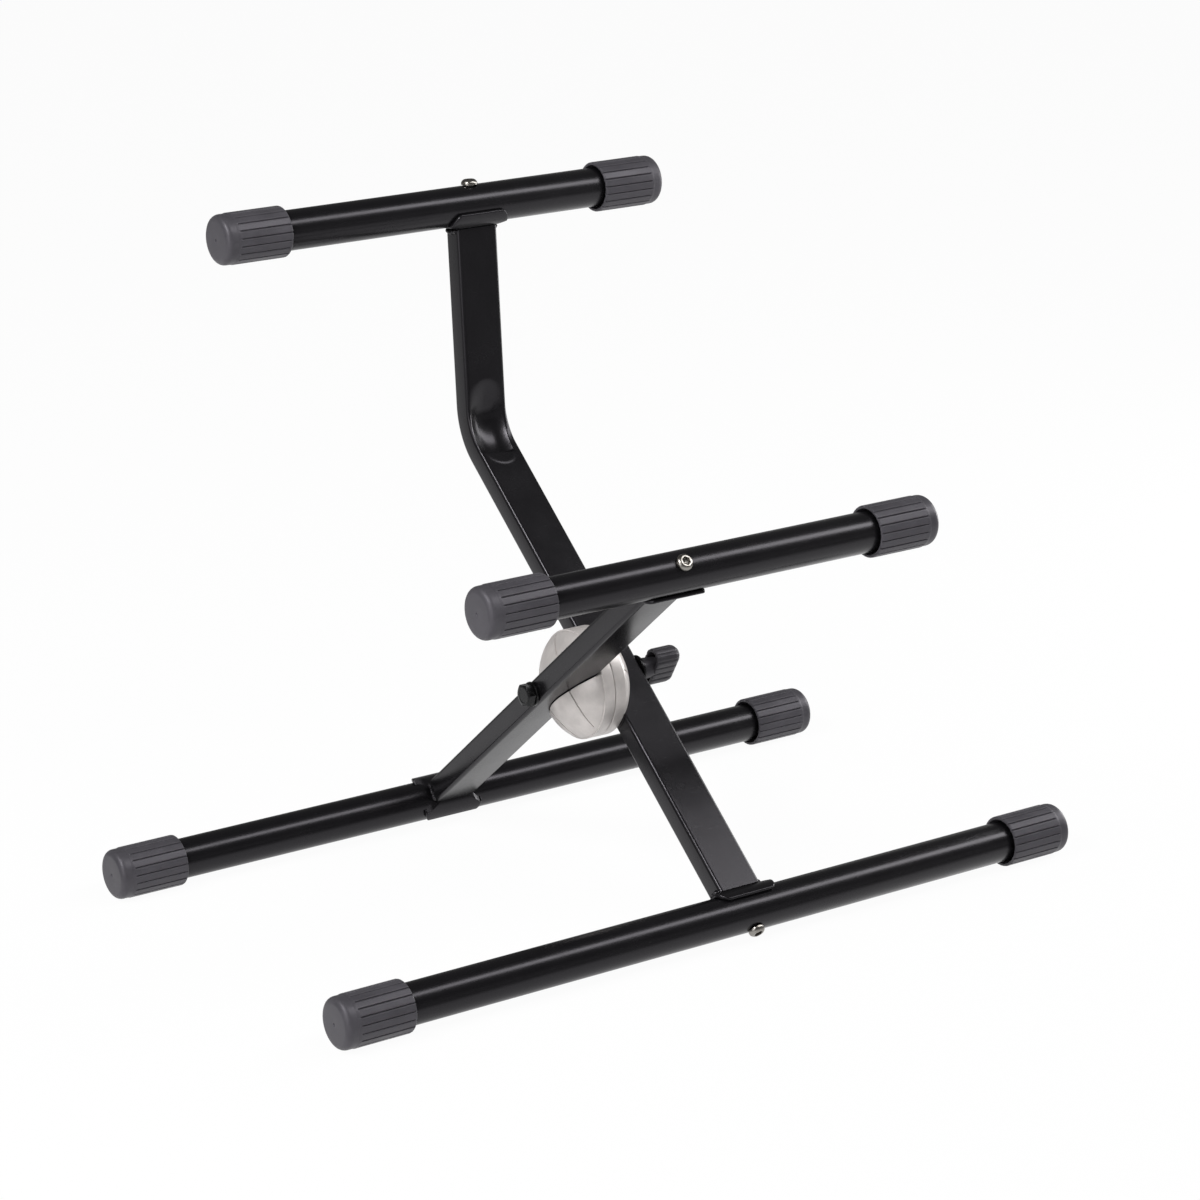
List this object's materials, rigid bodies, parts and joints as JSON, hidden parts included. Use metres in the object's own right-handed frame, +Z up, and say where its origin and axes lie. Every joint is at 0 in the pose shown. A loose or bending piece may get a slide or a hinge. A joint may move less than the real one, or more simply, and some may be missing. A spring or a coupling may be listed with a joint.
{
  "type": "folding amp stand",
  "caption": "Low folding tilt-back amplifier stand: two crossing steel arms on a clutch joint with a clamp knob, four round bars with ribbed rubber caps.",
  "frame": {"origin": "on the floor, in the middle of the stand's box in X and Y, in the working pose", "axes": "+X to the player's right along the bars, -Y to the front where the player stands, +Z up"},
  "size_m": [0.5386, 0.3356, 0.4165],
  "materials": {
    "black_paint": "satin",
    "black_rubber": "matte",
    "cast_aluminium": "satin",
    "bright_steel": "polished",
    "black_steel": "gloss",
    "black_plastic": "matte",
    "zinc_steel": "satin"
  },
  "bodies": {
    "front_frame": {"front_base_tube": "black_paint", "front_base_cap_left": "black_rubber", "front_base_cap_right": "black_rubber", "front_base_saddle": "black_paint", "front_base_screw": "bright_steel", "front_base_arm_plug": "zinc_steel", "top_rest_tube": "black_paint", "top_rest_cap_left": "black_rubber", "top_rest_cap_right": "black_rubber", "top_rest_saddle": "black_paint", "top_rest_screw": "bright_steel", "top_rest_arm_plug": "zinc_steel", "long_arm": "black_paint", "long_arm_sleeve": "zinc_steel", "joint_half_right": "cast_aluminium", "knob_washer": "bright_steel"},
    "rear_frame": {"rear_base_tube": "black_paint", "rear_base_cap_left": "black_rubber", "rear_base_cap_right": "black_rubber", "rear_base_saddle": "black_paint", "rear_base_screw": "bright_steel", "rear_base_arm_plug": "zinc_steel", "middle_rest_tube": "black_paint", "middle_rest_cap_left": "black_rubber", "middle_rest_cap_right": "black_rubber", "middle_rest_saddle": "black_paint", "middle_rest_screw": "bright_steel", "middle_rest_arm_plug": "zinc_steel", "short_arm": "black_paint", "short_arm_sleeve": "zinc_steel", "joint_half_left": "cast_aluminium", "clamp_bolt": "black_steel", "bolt_washer": "black_steel", "release_spring": "bright_steel"},
    "knob": {"clamp_knob": "black_plastic", "knob_insert": "zinc_steel"}
  },
  "joints": [
    {"name": "arm_fold", "type": "hinge", "parent": "front_frame", "child": "rear_frame", "pos_m": [0, -0.01264, 0.12872], "axis": [1, 0, 0], "range_deg": [-88, 70]},
    {"name": "knob_turn", "type": "hinge", "parent": "front_frame", "child": "knob", "pos_m": [0, -0.01264, 0.12872], "axis": [1, 0, 0], "range_deg": [0, 720]}
  ]
}
